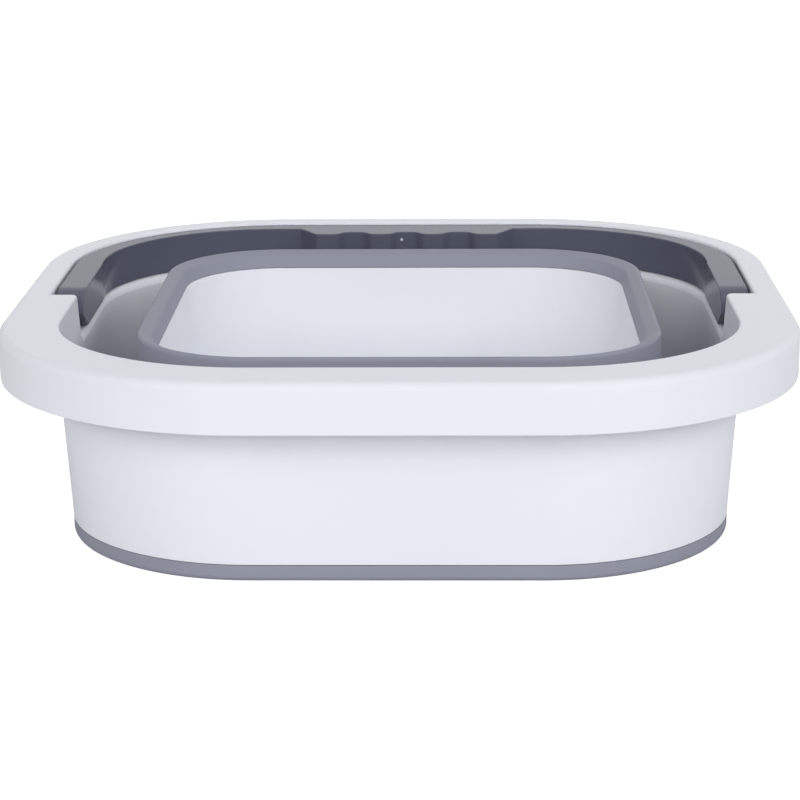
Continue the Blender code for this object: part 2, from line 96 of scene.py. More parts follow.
# Handle.
SIDE_GAP = 0.0012
BACK_GAP = 0.0006
HANDLE_DROP = 0.001
HANDLE_BACK_WIDTH = 0.0104
CORNER_SLIMMING = 0.0031
HANDLE_WALL = 0.0024
HANDLE_EDGE_RADIUS = 0.0013
PIVOT_Y = 0.002
NOSE_REACH = 0.015
NOSE_TO_STEP = 0.0043
HEEL_REACH = 0.005
HEEL_DROP = math.radians(5)
TRUNNION_RADIUS = 0.0035
TRUNNION_LENGTH = 0.0075
TRUNNION_CLEARANCE = 0.0003
ARM_BAYS = 9
GRIP_SETBACK = 0.00565
GRIP_DEPTH = 0.0214
GRIP_SLOPE_LENGTH = 0.0078
FINGER_PITCH = 0.0247
FINGER_SWELL = 0.0025
HOLLOW_BREADTH = 2.4
LAST_RIDGE = 1.5 * FINGER_PITCH

# The mark of the mould's gate, in the middle of the grip.
GATE_X = -0.0024
GATE_RADIUS = 0.0008
GATE_DROP = 0.0037

# Soft band round the lower edge of the frame.
BAND_HEIGHT = 0.0069
BAND_SKIN = 0.0012
BAND_FLOOR = 0.0027
BAND_FOOT_RADIUS = 0.0024
FRAME_TONGUE = 0.0011
FRAME_TONGUE_DEPTH = 0.0039

# Tub.
TUB_HEIGHT = 0.081
SLEEVE_ROOM = 0.0304
TUB_WALL = 0.002
TUB_DRAFT = math.radians(2.8)
TUB_BASE_RADIUS = 0.007
FOOT_HEIGHT = 0.0032
FOOT_WIDTH = 0.0025
TUB_TONGUE = 0.0018
TUB_TONGUE_RISE = 0.003

# Soft band on the upper edge of the tub.
CREST_WIDTH = 0.008
CREST_DEPTH = 0.0075
CREST_ROOF_WIDTH = 0.0059
CREST_ROOF_FALL = math.radians(24)
CREST_EDGE_RADIUS = 0.0015
CREST_KNEE_RADIUS = 0.002
CREST_SKIN = 0.0024

# Folding sleeve: it reaches the panel's thickness an eighth of its height from each end.
PANEL_THICKNESS = 0.0018
HINGE_THICKNESS = 0.0009
PANEL_RISE = 8

# How finely the rounds are parted.
CORNER_STEPS = 36
EDGE_STEPS = 6
ROUND_STEPS = 12
SKIRT_FOOT_STEPS = 3
BAND_FOOT_STEPS = 10
SHOULDER_STEPS = 16
NOSE_STEPS = 24
ROD_STEPS = 48
FINGER_STEPS = 32
GATE_STEPS = 24
SLEEVE_STEPS = 48
HANDLE_EDGE_SEGMENTS = 5
HANDLE_EDGE_ANGLE = math.radians(40)
SHARP_ANGLE = math.radians(30)

# Heights and half widths that follow from the sizes above.
SKIRT_FOOT_Z = FRAME_HEIGHT - SKIRT_DEPTH
LEDGE_Z = FRAME_HEIGHT - LEDGE_DEPTH
SLOT_OUTER = OUTER_HALF - LIP_WIDTH
SKIRT_INNER = OUTER_HALF - RIM_WALL
POCKET_TOP_Z = FRAME_HEIGHT - RIM_WALL
HANDLE_SIDE = SLOT_OUTER - SIDE_GAP
HANDLE_BACK = SLOT_OUTER - BACK_GAP
HANDLE_TOP_Z = FRAME_HEIGHT - HANDLE_DROP
HANDLE_FOOT_Z = LEDGE_Z + TOUCH_GAP
HUB_RADIUS = (HANDLE_TOP_Z - HANDLE_FOOT_Z) / 2
PIVOT_Z = (HANDLE_TOP_Z + HANDLE_FOOT_Z) / 2
NOSE_Y = PIVOT_Y - HUB_RADIUS
STEP_Y = NOSE_Y - NOSE_TO_STEP
TRUNNION_END = HANDLE_SIDE + TRUNNION_LENGTH
GRIP_HALF_LENGTH = STRAIGHT_HALF - GRIP_SETBACK


def frame_inner(height):
    """Half width of the frame's inner face at a height."""
    return OUTER_HALF - FRONT_RIM_WIDTH - math.tan(BODY_DRAFT) * (FRAME_HEIGHT - height)


def frame_outer(height):
    """Half width of the frame's outer face at a height below the skirt."""
    return frame_inner(height) + BODY_WALL


CREST_OUTER = frame_inner(TUB_HEIGHT) - SLEEVE_ROOM
CREST_INNER = CREST_OUTER - CREST_WIDTH
CREST_HEM_Z = TUB_HEIGHT - CREST_DEPTH
HANDLE_INNER = frame_inner(LEDGE_Z)
BAND_INNER = frame_inner(BAND_HEIGHT) - TOUCH_GAP - BAND_SKIN


def tub_inner(height):
    """Half width of the tub's inner face at a height below the crest band."""
    return CREST_INNER - math.tan(TUB_DRAFT) * (CREST_HEM_Z - height)


def tub_outer(height):
    """Half width of the tub's outer face at a height."""
    return tub_inner(height) + TUB_WALL


# The plan is walked in places from 0 to 8: an even step runs along a side, an odd one rounds a corner.


def plan_point(place, half):
    """The point at a place of the plan outline with this half width."""
    section = math.floor(place)
    along = place - section
    normal = Vector((1, 0)) @ Matrix.Rotation(-math.radians(90) * (section // 2), 2)
    following = Vector((-normal.y, normal.x))
    if section % 2 == 0:
        return normal * half + following * STRAIGHT_HALF * (2 * along - 1)
    turn = math.radians(90) * along
    direction = normal * math.cos(turn) + following * math.sin(turn)
    return (normal + following) * STRAIGHT_HALF + direction * (half - STRAIGHT_HALF)


def right_place(y):
    """The place on the +X side at this y."""
    return (y / STRAIGHT_HALF + 1) / 2


def left_place(y):
    """The place on the -X side at this y."""
    return 5 - right_place(y)


def run(start, end):
    """The places from start to end: both ends, and the corners' own steps between them."""
    corners = range(2 * math.floor(start / 2) - 1, math.ceil(end) + 1, 2)
    steps = [corner + step / CORNER_STEPS for corner in corners for step in range(CORNER_STEPS + 1)]
    least = 0.1 / CORNER_STEPS
    return [start] + [place for place in steps if start + least < place < end - least] + [end]


def whole_plan():
    """The places of a closed outline."""
    return [corner + step / CORNER_STEPS for corner in (1, 3, 5, 7) for step in range(CORNER_STEPS + 1)]


def plan_outline(places, half):
    """The plan's points at these places, for one half width."""
    return [tuple(plan_point(place, half)) for place in places]


def place_step(place, half, length):
    """How far the place moves for this length along the outline."""
    if math.floor(place) % 2 == 0:
        return length / (2 * STRAIGHT_HALF)
    return length / (math.radians(90) * (half - STRAIGHT_HALF))


def arc(centre, radius, first, last, steps):
    """Points round a centre in a section, from one angle to another in degrees."""
    x, y = centre
    angles = [math.radians(first + (last - first) * step / steps) for step in range(steps + 1)]
    return [(x + radius * math.cos(angle), y + radius * math.sin(angle)) for angle in angles]


def rounded(before, corner, after, radius, steps):
    """Points of the arc that rounds a corner of a section."""
    back = (Vector(before) - Vector(corner)).normalized()
    onward = (Vector(after) - Vector(corner)).normalized()
    opening = back.angle(onward) / 2
    centre = Vector(corner) + (back + onward).normalized() * radius / math.sin(opening)
    first = Vector(corner) + back * radius / math.tan(opening) - centre
    last = Vector(corner) + onward * radius / math.tan(opening) - centre
    turn = first.angle_signed(last)
    turns = [Matrix.Rotation(-turn * step / steps, 2) for step in range(steps + 1)]
    return [tuple(centre + part @ first) for part in turns]


def add_faces_between(mesh, rows, closed):
    """Four-sided faces between rows of vertices, and end caps where the rows don't close."""
    followers = rows[1:] + rows[:1] if closed else rows[1:]
    for row, follower in zip(rows, followers):
        for index, vertex in enumerate(row):
            beside = (index + 1) % len(row)
            mesh.faces.new((vertex, follower[index], follower[beside], row[beside]))
    if not closed:
        mesh.faces.new(rows[0])
        mesh.faces.new(reversed(rows[-1]))


def add_sweep(mesh, places, section_at, closed=False):
    """Carries a section of (half width, height) points along the plan."""
    rows = []
    for place in places:
        section = section_at(place)
        rows.append([mesh.verts.new((*plan_point(place, half), height)) for half, height in section])
    add_faces_between(mesh, rows, closed)


def add_levels(mesh, levels):
    """A solid through flat outlines, each a height and its points in plan."""
    rows = [[mesh.verts.new((x, y, height)) for x, y in outline] for height, outline in levels]
    add_faces_between(mesh, rows, closed=False)


def add_bar(mesh, outline, first_x, last_x):
    """A solid along X from an outline of (y, z) points."""
    rows = [[mesh.verts.new((x, y, z)) for y, z in outline] for x in (first_x, last_x)]
    add_faces_between(mesh, rows, closed=False)


def make_object(name, mesh):
    """An object from a bmesh, with its faces turned outwards."""
    bmesh.ops.recalc_face_normals(mesh, faces=mesh.faces)
    data = bpy.data.meshes.new(name)
    mesh.to_mesh(data)
    mesh.free()
    made = bpy.data.objects.new(name, data)
    bpy.context.scene.collection.objects.link(made)
    return made


def make_ring(name, section):
    """A closed ring with this section all round the plan."""
    mesh = bmesh.new()
    add_sweep(mesh, whole_plan(), lambda place: section, closed=True)
    return make_object(name, mesh)


def combine(target, helper, operation):
    """Adds a Boolean of the helper to the target."""
    modifier = target.modifiers.new(helper.name, "BOOLEAN")
    modifier.operation = operation
    modifier.solver = "EXACT"
    modifier.object = helper


def settle(target, helpers=()):
    """Keeps the mesh that the modifiers make, removes the helpers, and shades it smooth."""
    graph = bpy.context.evaluated_depsgraph_get()
    shaped = bpy.data.meshes.new_from_object(target.evaluated_get(graph))
    target.modifiers.clear()
    target.data = shaped
    shaped.name = target.name
    for helper in helpers:
        bpy.data.objects.remove(helper)
    shaped.shade_smooth()
    shaped.set_sharp_from_angle(angle=SHARP_ANGLE)
    normals = target.modifiers.new("even shading", "WEIGHTED_NORMAL")
    normals.keep_sharp = True
    return target


# Finishes.

PLASTIC_IOR = 1.49
DRIFT_SCALE = 14.0
WAVE_SCALE = 60.0
NOISE_RANGE = (0.3, 0.7)


def new_material(name):
    """A material with its nodes, their links, and its shader."""
    material = bpy.data.materials.new(name)
    material.use_nodes = True
    tree = material.node_tree
    return material, tree.nodes, tree.links, tree.nodes["Principled BSDF"]


def add_noise(nodes, links, coordinates, scale, detail):
    """A noise that is fixed to the piece."""
    noise = nodes.new("ShaderNodeTexNoise")
    noise.inputs["Scale"].default_value = scale
    noise.inputs["Detail"].default_value = detail
    links.new(coordinates.outputs["Object"], noise.inputs["Vector"])
    return noise


def add_span(nodes, links, source, given, wanted):
    """Maps one span of a number onto another, and holds it at the ends."""
    span = nodes.new("ShaderNodeMapRange")
    span.inputs["From Min"].default_value, span.inputs["From Max"].default_value = given
    span.inputs["To Min"].default_value, span.inputs["To Max"].default_value = wanted
    links.new(source, span.inputs["Value"])
    return span.outputs["Result"]


def add_bump(nodes, links, source, height):
    """A bump of this height from a noise."""
    bump = nodes.new("ShaderNodeBump")
    bump.inputs["Strength"].default_value = 1.0
    bump.inputs["Distance"].default_value = height
    links.new(source.outputs["Fac"], bump.inputs["Height"])
    return bump


def moulded_plastic(name, colours, gloss, roughness, drift, grain_scale, grain_height, wave_height):
    """A moulded plastic: faint drift of colour and gloss, a fine grain, and the mould's long waves."""
    material, nodes, links, shader = new_material(name)
    coordinates = nodes.new("ShaderNodeTexCoord")
    broad = add_noise(nodes, links, coordinates, DRIFT_SCALE, detail=2.0)
    fine = add_noise(nodes, links, coordinates, grain_scale, detail=4.0)
    waves = add_noise(nodes, links, coordinates, WAVE_SCALE, detail=1.0)
    mix = nodes.new("ShaderNodeMix")
    mix.data_type = "RGBA"
    for socket, colour in zip("AB", colours):
        mix.inputs[socket].default_value = (*colour, 1)
    share = add_span(nodes, links, broad.outputs["Fac"], NOISE_RANGE, (0, 1))
    links.new(share, mix.inputs["Factor"])
    links.new(mix.outputs["Result"], shader.inputs["Base Color"])
    polish = (roughness - drift, roughness + drift)
    polish_noise = add_span(nodes, links, fine.outputs["Fac"], NOISE_RANGE, polish)
    links.new(polish_noise, shader.inputs["Roughness"])
    grain = add_bump(nodes, links, fine, grain_height)
    swell = add_bump(nodes, links, waves, wave_height)
    links.new(grain.outputs["Normal"], swell.inputs["Normal"])
    links.new(swell.outputs["Normal"], shader.inputs["Normal"])
    shader.inputs["IOR"].default_value = PLASTIC_IOR
    shader.inputs["Specular IOR Level"].default_value = gloss
    return material


WHITE_PLASTIC = moulded_plastic(
    "white_plastic",
    colours=((0.81, 0.82, 0.86), (0.79, 0.805, 0.85)),
    gloss=0.14,
    roughness=0.36,
    drift=0.03,
    grain_scale=1400,
    grain_height=0.000008,
    wave_height=0.00002,
)
GREY_PLASTIC = moulded_plastic(
    "grey_plastic",
    colours=((0.11, 0.118, 0.158), (0.103, 0.111, 0.149)),
    gloss=0.08,
    roughness=0.12,
    drift=0.02,
    grain_scale=1400,
    grain_height=0.000003,
    wave_height=0.00001,
)
# A paler grey for the stub of the mould's gate.
PALE_GATE_PLASTIC = moulded_plastic(
    "pale_gate_plastic",
    colours=((0.6, 0.61, 0.65), (0.54, 0.55, 0.59)),
    gloss=0.1,
    roughness=0.4,
    drift=0.05,
    grain_scale=1400,
    grain_height=0.000003,
    wave_height=0.00001,
)
GREY_ELASTOMER = moulded_plastic(
    "grey_elastomer",
    colours=((0.287, 0.297, 0.352), (0.272, 0.282, 0.336)),
    gloss=0.1,
    roughness=0.5,
    drift=0.05,
    grain_scale=1800,
    grain_height=0.000015,
    wave_height=0.00002,
)


def dress(piece, material, body, node):
    """Gives a piece its finish, and sets it on its body, if it has one, in place of a node."""
    piece.data.materials.clear()
    piece.data.materials.append(material)
    if body:
        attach(piece, body)
    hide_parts(node)
    return piece


# Upper frame.


def frame_section():
    """The frame's section before it is hollowed: wall, tongue for the band, and a solid rim."""
    tongue_z = BAND_HEIGHT - FRAME_TONGUE_DEPTH
    tongue_inner = frame_inner(BAND_HEIGHT)
    inner_edge = (frame_inner(FRAME_HEIGHT) + RIM_INNER_RADIUS, FRAME_HEIGHT - RIM_INNER_RADIUS)
    outer_edge = (OUTER_HALF - RIM_EDGE_RADIUS, FRAME_HEIGHT - RIM_EDGE_RADIUS)
    foot_edge = (OUTER_HALF - SKIRT_FOOT_RADIUS, SKIRT_FOOT_Z + SKIRT_FOOT_RADIUS)
    return [
        (tongue_inner + FRAME_TONGUE, tongue_z),
        (tongue_inner, tongue_z),
        (tongue_inner, BAND_HEIGHT),
        *arc(inner_edge, RIM_INNER_RADIUS, 180, 90, EDGE_STEPS),
        *arc(outer_edge, RIM_EDGE_RADIUS, 90, 0, ROUND_STEPS),
        *arc(foot_edge, SKIRT_FOOT_RADIUS, 0, -90, SKIRT_FOOT_STEPS),
        (frame_outer(SKIRT_FOOT_Z), SKIRT_FOOT_Z),
        (frame_outer(BAND_HEIGHT), BAND_HEIGHT),
        (tongue_inner + FRAME_TONGUE, BAND_HEIGHT),
    ]


def rebate_outline(height, grow):
    """The rebate in plan: round the rear at the slot's outer wall, then across in front of the step."""
    inner = frame_inner(height)
    centre_x = inner + STEP_CORNER_RADIUS
    centre_y = STEP_Y - STEP_CORNER_RADIUS
    places = run(right_place(STEP_Y - grow), left_place(STEP_Y - grow))
    rear = plan_outline(places, SLOT_OUTER + grow)
    corner = arc((centre_x, centre_y), STEP_CORNER_RADIUS - grow, 90, 180, ROUND_STEPS)
    left_corner = [(-x, y) for x, y in corner]
    return rear + left_corner + corner[::-1]


def make_rebate():
    """Cutter for the handle's seat, with the slot's upper edge rounded over."""
    edge_z = FRAME_HEIGHT - SLOT_EDGE_RADIUS
    turns = arc((SLOT_EDGE_RADIUS, edge_z), SLOT_EDGE_RADIUS, 180, 90, EDGE_STEPS)
    levels = [(LEDGE_Z, rebate_outline(LEDGE_Z, 0))]
    levels += [(height, rebate_outline(height, grow)) for grow, height in turns]
    levels.append((FRAME_HEIGHT + OVERRUN, rebate_outline(FRAME_HEIGHT, SLOT_EDGE_RADIUS)))
    mesh = bmesh.new()
    add_levels(mesh, levels)
    return make_object("rebate", mesh)


def make_shoulder():
    """Cutter that rounds the inner edge of the ledge and runs out into the wall."""
    centre_z = LEDGE_Z - SHOULDER_RADIUS
    centre = (frame_inner(centre_z) + SHOULDER_RADIUS / math.cos(BODY_DRAFT), centre_z)
    rounding = arc(centre, SHOULDER_RADIUS, 180 - math.degrees(BODY_DRAFT), 90, SHOULDER_STEPS)
    inner = rounding[0][0] - OVERRUN
    high = LEDGE_Z + OVERRUN
    section = [(inner, rounding[0][1]), *rounding, (centre[0], high), (inner, high)]
    mesh = bmesh.new()
    add_sweep(mesh, run(right_place(STEP_Y), left_place(STEP_Y)), lambda place: section)
    return make_object("shoulder", mesh)


def add_bays(mesh, ends, bays, half, rib, section_at):
    """Hollows between ribs: the run is parted into bays, and half a rib stays at each parting."""
    start, end = ends
    for bay in range(bays):
        first = start + (end - start) * bay / bays
        last = start + (end - start) * (bay + 1) / bays
        if bay > 0:
            first += place_step(first, half, rib / 2)
        if bay < bays - 1:
            last -= place_step(last, half, rib / 2)
        add_sweep(mesh, run(first, last), section_at)


def make_rim_pockets():
    """Cutter for the hollows under the rim, with ribs left between the wall and the skirt."""
    low = SKIRT_FOOT_Z - OVERRUN
    front = [
        (frame_outer(low) + POCKET_SETBACK, low),
        (frame_outer(POCKET_TOP_Z) + POCKET_SETBACK, POCKET_TOP_Z),
        (SKIRT_INNER, POCKET_TOP_Z),
        (SKIRT_INNER, low),
    ]
    slot_back = SLOT_OUTER + RIM_WALL
    rear = [(slot_back, low), (slot_back, POCKET_TOP_Z), *front[2:]]
    front_y = STEP_Y - RIM_WALL
    front_ends = (left_place(front_y), 8 + right_place(front_y))
    rear_ends = (right_place(STEP_Y), left_place(STEP_Y))
    mesh = bmesh.new()
    for ends, bays, section in ((front_ends, FRONT_BAYS, front), (rear_ends, REAR_BAYS, rear)):
        add_bays(mesh, ends, bays, SKIRT_INNER, RIB_THICKNESS, lambda place: section)
    return make_object("rim_pockets", mesh)


def make_rods(name, radius, inner_half, outer_half):
    """A rod at each side of the bucket, on the handle's axis."""
    circle = arc((PIVOT_Y, PIVOT_Z), radius, 0, 360, ROD_STEPS)[:-1]
    mesh = bmesh.new()
    for side in (-1, 1):
        add_bar(mesh, circle, side * inner_half, side * outer_half)
    return make_object(name, mesh)


def make_frame():
    """The white ring: a solid section, less its hollows, the handle's seat and the pivot holes."""
    piece = make_ring("rim_and_wall", frame_section())
    hole_radius = TRUNNION_RADIUS + TRUNNION_CLEARANCE
    hole_end = TRUNNION_END + TRUNNION_CLEARANCE
    helpers = [
        make_rim_pockets(),
        make_rebate(),
        make_shoulder(),
        make_rods("pivot_holes", hole_radius, SLOT_OUTER - OVERRUN, hole_end),
    ]
    for helper in helpers:
        combine(piece, helper, "DIFFERENCE")
    settle(piece, helpers)
    return dress(piece, WHITE_PLASTIC, "frame_body", "upper_frame")


def make_foot_band():
    """The soft band that grips the frame's lower edge and forms its foot."""
    outer = frame_outer(BAND_HEIGHT)
    tongue_inner = frame_inner(BAND_HEIGHT)
    slot_inner = tongue_inner - TOUCH_GAP
    slot_outer = tongue_inner + FRAME_TONGUE + TOUCH_GAP
    slot_z = BAND_HEIGHT - FRAME_TONGUE_DEPTH - TOUCH_GAP
    foot_z = slot_z - BAND_FLOOR
    outer_centre = (outer - BAND_FOOT_RADIUS, foot_z + BAND_FOOT_RADIUS)
    inner_centre = (BAND_INNER + BAND_SKIN, foot_z + BAND_SKIN)
    section = [
        (slot_outer, slot_z),
        (slot_outer, BAND_HEIGHT - TOUCH_GAP),
        (outer, BAND_HEIGHT - TOUCH_GAP),
        *arc(outer_centre, BAND_FOOT_RADIUS, 0, -90, BAND_FOOT_STEPS),
        *arc(inner_centre, BAND_SKIN, -90, -180, EDGE_STEPS),
        (BAND_INNER, BAND_HEIGHT - BAND_SKIN),
        (slot_inner, BAND_HEIGHT - BAND_SKIN),
        (slot_inner, slot_z),
    ]
    piece = settle(make_ring("foot_band", section))
    return dress(piece, GREY_ELASTOMER, "frame_body", "frame_edge_band")


# Handle.


def corner_share(place):
    """0 along the handle's arms, 1 along its back, and the share of the turn round its corners."""
    section = math.floor(place)
    along = place - section
    return {1: along, 2: 1, 3: 1 - along}.get(section, 0)


def handle_outer(place):
    """Half width of the handle's outer face: nearer the slot's wall round the corners and the back."""
    return HANDLE_SIDE + (HANDLE_BACK - HANDLE_SIDE) * math.sin(math.radians(90) * corner_share(place))


def handle_inner(place):
    """Half width of the handle's inner face: slimmer at the back, and slimmest round the corners."""
    share = corner_share(place)
    back = HANDLE_BACK - HANDLE_BACK_WIDTH
    slimming = CORNER_SLIMMING * math.sin(math.pi * share)
    return HANDLE_INNER + (back - HANDLE_INNER) * share + slimming


def grip_face(x, inset=0):
    """How far back the grip's finger side lies at x: broad hollows between ridges, and sloping ends."""
    wave = math.cos(2 * math.pi * min(abs(x), LAST_RIDGE) / FINGER_PITCH)
    broad = math.tanh(HOLLOW_BREADTH * wave) / math.tanh(HOLLOW_BREADTH)
    face = HANDLE_BACK - GRIP_DEPTH + FINGER_SWELL * broad
    back = HANDLE_BACK - HANDLE_BACK_WIDTH
    past_slope = max(0, abs(x) - GRIP_HALF_LENGTH + GRIP_SLOPE_LENGTH) / GRIP_SLOPE_LENGTH
    return face + (back - face) * past_slope + inset


def grip_points(first_x, last_x, inset=0):
    """The grip's finger side in plan, from one x to another."""
    steps = max(1, round(abs(last_x - first_x) / FINGER_PITCH * FINGER_STEPS))
    xs = [first_x + (last_x - first_x) * step / steps for step in range(steps + 1)]
    return [(x, grip_face(x, inset)) for x in xs]


def handle_outline():
    """The handle in plan, from nose to nose round the rear, and back along the finger side."""
    places = run(right_place(NOSE_Y), left_place(NOSE_Y))
    outer = [tuple(plan_point(place, handle_outer(place))) for place in places]
    left = [tuple(plan_point(place, handle_inner(place))) for place in run(3, left_place(NOSE_Y))]
    right = [(-x, y) for x, y in left]
    return outer + left[::-1] + grip_points(-GRIP_HALF_LENGTH, GRIP_HALF_LENGTH) + right


def make_nose_cutter():
    """Cuts the arms' ends to a long round nose above and a slanting heel below."""
    unit = arc((0, 0), 1, 90, 180 + math.degrees(HEEL_DROP), NOSE_STEPS)
    centre_y = NOSE_Y + NOSE_REACH
    outline = [
        *[(centre_y + NOSE_REACH * along, PIVOT_Z + HUB_RADIUS * up) for along, up in unit],
        (PIVOT_Y + HEEL_REACH, HANDLE_FOOT_Z),
        (PIVOT_Y + HEEL_REACH, HANDLE_FOOT_Z - OVERRUN),
        (NOSE_Y - OVERRUN, HANDLE_FOOT_Z - OVERRUN),
        (NOSE_Y - OVERRUN, HANDLE_TOP_Z + OVERRUN),
        (centre_y, HANDLE_TOP_Z + OVERRUN),
    ]
    mesh = bmesh.new()
    add_bar(mesh, outline, -OUTER_HALF, OUTER_HALF)
    return make_object("nose_cutter", mesh)


def make_handle_pockets():
    """Cutter for the handle's hollow underside: bays between ribs, wider ones behind the fingers."""
    low = HANDLE_FOOT_Z - OVERRUN
    top = HANDLE_TOP_Z - HANDLE_WALL

    def channel(place):
        inner = handle_inner(place) + HANDLE_WALL
        outer = handle_outer(place) - HANDLE_WALL
        return [(inner, low), (inner, top), (outer, top), (outer, low)]

    mesh = bmesh.new()
    start_y = PIVOT_Y + 2 * HUB_RADIUS
    grip_edge = 2 + (1 - GRIP_HALF_LENGTH / STRAIGHT_HALF) / 2
    for ends in ((right_place(start_y), grip_edge), (5 - grip_edge, left_place(start_y))):
        add_bays(mesh, ends, ARM_BAYS, HANDLE_SIDE, HANDLE_WALL, channel)
    hollow_half = GRIP_HALF_LENGTH - GRIP_SLOPE_LENGTH
    bays = max(1, round(2 * GRIP_HALF_LENGTH / FINGER_PITCH))
    back = HANDLE_BACK - HANDLE_WALL
    half_rib = HANDLE_WALL / 2
    for bay in range(bays):
        first = -hollow_half + 2 * hollow_half * bay / bays
        last = -hollow_half + 2 * hollow_half * (bay + 1) / bays
        first += half_rib if bay else 0
        last -= half_rib if bay < bays - 1 else 0
        outline = grip_points(first, last, HANDLE_WALL) + [(last, back), (first, back)]
        add_levels(mesh, [(low, outline), (top, outline)])
    return make_object("handle_pockets", mesh)


def make_handle():
    """The glossy grey handle: rounded edges, a hollow underside, and a trunnion on each arm."""
    outline = handle_outline()
    mesh = bmesh.new()
    add_levels(mesh, [(HANDLE_FOOT_Z, outline), (HANDLE_TOP_Z, outline)])
    piece = make_object("carry_handle", mesh)
    nose = make_nose_cutter()
    pockets = make_handle_pockets()
    trunnions = make_rods("trunnions", TRUNNION_RADIUS, HANDLE_SIDE - HANDLE_WALL, TRUNNION_END)
    combine(piece, nose, "DIFFERENCE")
    rounding = piece.modifiers.new("rounded edges", "BEVEL")
    rounding.width = HANDLE_EDGE_RADIUS
    rounding.segments = HANDLE_EDGE_SEGMENTS
    rounding.limit_method = "ANGLE"
    rounding.angle_limit = HANDLE_EDGE_ANGLE
    combine(piece, pockets, "DIFFERENCE")
    combine(piece, trunnions, "UNION")
    settle(piece, (nose, pockets, trunnions))
    return dress(piece, GREY_PLASTIC, "handle_body", "handle")


def make_gate_mark():
    """The round stub left by the mould's gate in the grip's middle hollow, paler than the handle."""
    centre = (GATE_X, HANDLE_TOP_Z - GATE_DROP)
    face = grip_face(GATE_X)
    dome = [(face - reach, radius) for radius, reach in arc((0, 0), GATE_RADIUS, 0, 80, EDGE_STEPS)]
    mesh = bmesh.new()
    rows = []
    for y, radius in [(face + GATE_RADIUS, GATE_RADIUS), *dome]:
        circle = arc(centre, radius, 0, 360, GATE_STEPS)[:-1]
        rows.append([mesh.verts.new((x, y, z)) for x, z in circle])
    add_faces_between(mesh, rows, closed=False)
    piece = settle(make_object("gate_mark", mesh))
    return dress(piece, PALE_GATE_PLASTIC, "handle_body", "handle")


# Tub and the soft moulding's other parts.


def make_tub():
    """The tub: a foot, a drafted wall with a round base, and a tongue that the crest band grips."""
    floor_z = FOOT_HEIGHT + TUB_WALL
    base_z = floor_z + TUB_BASE_RADIUS
    centre = (tub_inner(base_z) - TUB_BASE_RADIUS, base_z)
    tongue_inner = CREST_INNER + CREST_SKIN + TOUCH_GAP
    tongue_outer = tongue_inner + TUB_TONGUE
    tongue_top = CREST_HEM_Z + TUB_TONGUE_RISE
    flare_z = CREST_HEM_Z - (tongue_outer - tub_outer(CREST_HEM_Z))
    foot_inner = centre[0] - FOOT_WIDTH
    section = [
        (foot_inner, FOOT_HEIGHT),
        (foot_inner, 0),
        (centre[0], 0),
        *arc(centre, TUB_BASE_RADIUS + TUB_WALL, -90, 0, ROUND_STEPS),
        (tub_outer(flare_z), flare_z),
        (tongue_outer, CREST_HEM_Z),
        (tongue_outer, tongue_top),
        (tongue_inner, tongue_top),
        (tongue_inner, CREST_HEM_Z),
        (CREST_INNER, CREST_HEM_Z),
        *arc(centre, TUB_BASE_RADIUS, 0, -90, ROUND_STEPS),
    ]
    levels = [(height, plan_outline(whole_plan(), half)) for half, height in section]
    mesh = bmesh.new()
    add_levels(mesh, levels)
    piece = settle(make_object("tub_moulding", mesh))
    return dress(piece, WHITE_PLASTIC, "tub_body", "tub")


def crest_section():
    """A flush outer face, a roof that falls inwards from its edge, and a slot for the tongue."""
    slot_inner = CREST_INNER + CREST_SKIN
    slot_outer = slot_inner + TUB_TONGUE + 2 * TOUCH_GAP
    slot_top = CREST_HEM_Z + TUB_TONGUE_RISE + TOUCH_GAP
    hem_z = CREST_HEM_Z + TOUCH_GAP
    edge_centre = (CREST_OUTER - CREST_EDGE_RADIUS, TUB_HEIGHT - CREST_EDGE_RADIUS)
    edge = arc(edge_centre, CREST_EDGE_RADIUS, 0, 90 + math.degrees(CREST_ROOF_FALL), ROUND_STEPS)
    knee_half = CREST_OUTER - CREST_ROOF_WIDTH
    knee = (knee_half, edge[-1][1] - (edge[-1][0] - knee_half) * math.tan(CREST_ROOF_FALL))
    hem = (CREST_INNER, hem_z)
    return [
        (slot_outer, hem_z),
        (CREST_OUTER, hem_z),
        *edge,
        *rounded(edge[-1], knee, hem, CREST_KNEE_RADIUS, ROUND_STEPS),
        hem,
        (slot_inner, hem_z),
        (slot_inner, slot_top),
        (slot_outer, slot_top),
    ]


def make_crest():
    """The soft crest on the tub's upper edge."""
    piece = settle(make_ring("crest_band", crest_section()))
    return dress(piece, GREY_ELASTOMER, "tub_body", "tub_lip_band")


